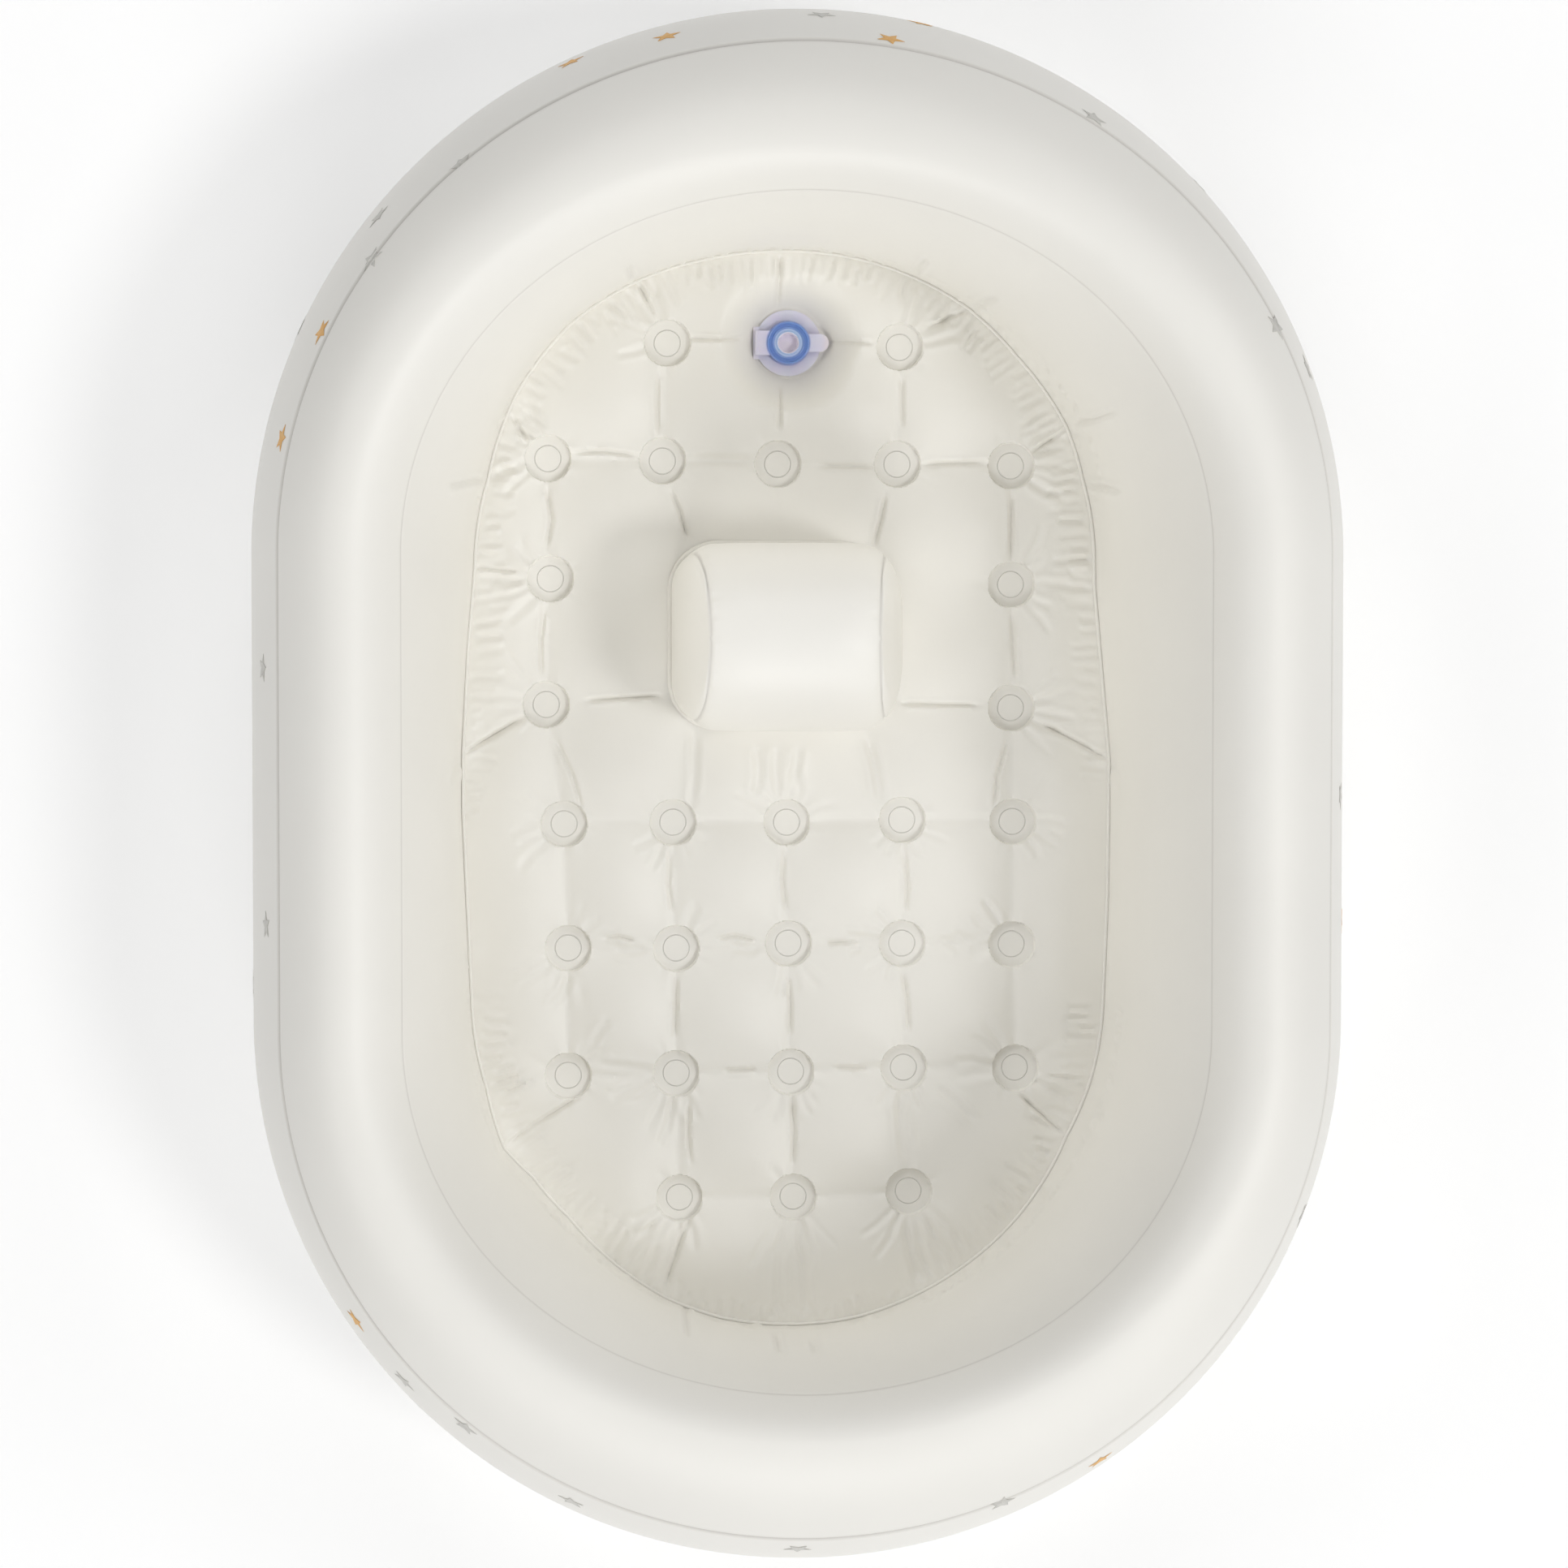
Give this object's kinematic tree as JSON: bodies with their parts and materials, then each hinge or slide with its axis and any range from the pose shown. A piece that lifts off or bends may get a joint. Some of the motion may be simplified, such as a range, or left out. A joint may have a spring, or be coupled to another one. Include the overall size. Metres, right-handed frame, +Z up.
{
  "type": "inflatable baby bathtub",
  "caption": "Oval inflatable baby bath with a fat rounded wall, a quilted floor, a padded post between the legs, a plugged drain and flush air valves.",
  "frame": {"origin": "middle of the tub on the surface it stands on", "axes": "+Z up, +Y along the tub to the foot end with the drain, +X across it"},
  "size_m": [0.647, 0.92, 0.28],
  "materials": {
    "wall_film": "satin film",
    "floor_film": "satin film",
    "drain_pvc": "translucent soft moulding",
    "valve_pvc": "translucent soft moulding"
  },
  "bodies": {
    "tub": {"wall": "wall_film", "floor": "floor_film", "post": "floor_film", "drain_body": "drain_pvc", "wall_valve_body": "valve_pvc", "floor_valve_body": "valve_pvc"},
    "drain_cap": {"drain_plug": "drain_pvc"},
    "wall_valve_cap": {"wall_valve_plug": "valve_pvc"},
    "floor_valve_cap": {"floor_valve_plug": "valve_pvc"}
  },
  "joints": [
    {"name": "drain_fold", "type": "hinge", "parent": "tub", "child": "drain_cap", "pos_m": [-0.0195, 0.2687, 0.03625], "axis": [0, -1, 0], "range_deg": [0, 100]},
    {"name": "wall_valve_fold", "type": "hinge", "parent": "tub", "child": "wall_valve_cap", "pos_m": [-0.06196, -0.45225, 0.14], "axis": [0, 0, -1], "range_deg": [0, 100]},
    {"name": "floor_valve_fold", "type": "hinge", "parent": "tub", "child": "floor_valve_cap", "pos_m": [0.03865, -0.45594, 0.14], "axis": [0, 0, -1], "range_deg": [0, 100]}
  ]
}
